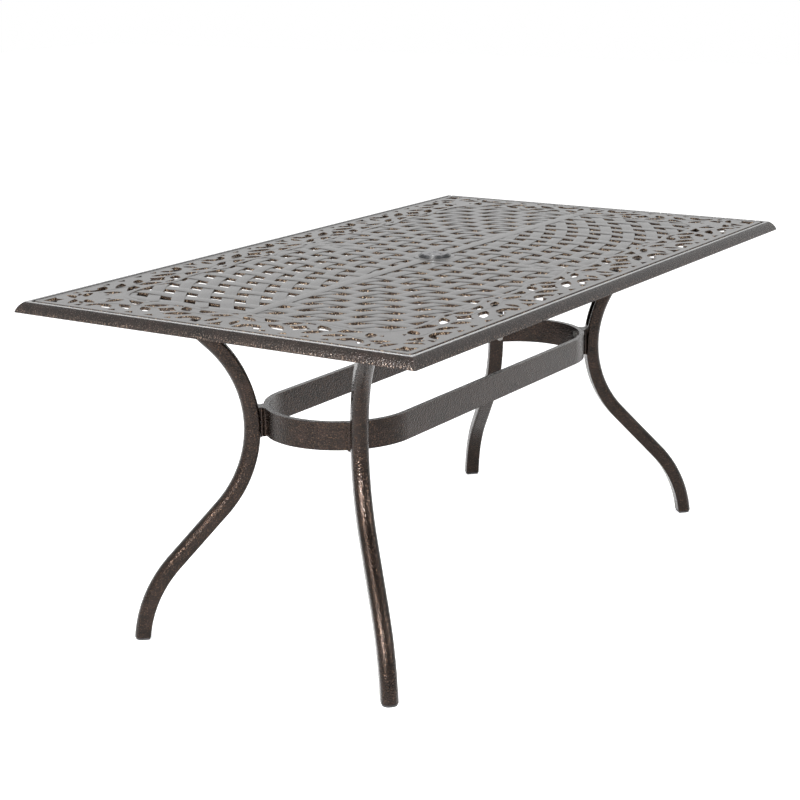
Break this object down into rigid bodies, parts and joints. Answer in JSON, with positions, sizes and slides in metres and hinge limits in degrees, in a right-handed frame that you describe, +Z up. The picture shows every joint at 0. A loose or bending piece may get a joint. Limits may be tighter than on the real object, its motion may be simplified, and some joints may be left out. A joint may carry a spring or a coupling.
{
  "type": "umbrella table",
  "caption": "Rectangular cast-metal patio table with a basket-weave top, scroll border, bowed legs, a stadium stretcher band and a capped umbrella hole.",
  "frame": {"origin": "on the floor under the middle of the top, at the umbrella hole's axis", "axes": "+X along the table's length, +Y across its width, +Z up"},
  "size_m": [1.62, 0.946, 0.7408],
  "materials": {
    "hammered_bronze": "hammered bronze powder coat on cast and extruded aluminium",
    "black_glide": "matt black moulded glide",
    "steel": "plain stainless fasteners and joiners",
    "dark_grey_plastic": "moulded dark grey plastic",
    "grey_cap": "moulded grey cap, slightly glossy"
  },
  "bodies": {
    "table": {"near_panel": "hammered_bronze", "far_panel": "hammered_bronze", "rim_rail_near": "hammered_bronze", "rim_rail_far": "hammered_bronze", "rim_rail_left": "hammered_bronze", "rim_rail_right": "hammered_bronze", "leg_bar_left": "hammered_bronze", "leg_bar_right": "hammered_bronze", "centre_bar": "hammered_bronze", "leg_right_far": "hammered_bronze", "leg_left_far": "hammered_bronze", "leg_left_near": "hammered_bronze", "leg_right_near": "hammered_bronze", "leg_plate_right_far": "hammered_bronze", "leg_plate_left_far": "hammered_bronze", "leg_plate_left_near": "hammered_bronze", "leg_plate_right_near": "hammered_bronze", "spacer_right_far": "hammered_bronze", "spacer_left_far": "hammered_bronze", "spacer_left_near": "hammered_bronze", "spacer_right_near": "hammered_bronze", "stretcher_left_half": "hammered_bronze", "stretcher_right_half": "hammered_bronze", "glide_right_far": "black_glide", "glide_left_far": "black_glide", "glide_left_near": "black_glide", "glide_right_near": "black_glide", "joiner_near": "steel", "joiner_far": "steel", "stretcher_bolts": "steel", "stretcher_washers": "steel", "leg_bolts": "steel", "leg_washers": "steel", "rim_screws": "steel", "panel_screws": "steel", "umbrella_ring": "dark_grey_plastic", "umbrella_nut": "dark_grey_plastic"},
    "cap": {"umbrella_cap": "grey_cap"}
  },
  "joints": [
    {"name": "cap_lift", "type": "slide", "parent": "table", "child": "cap", "axis": [0, 0, 1], "range_m": [0, 0.06]}
  ]
}
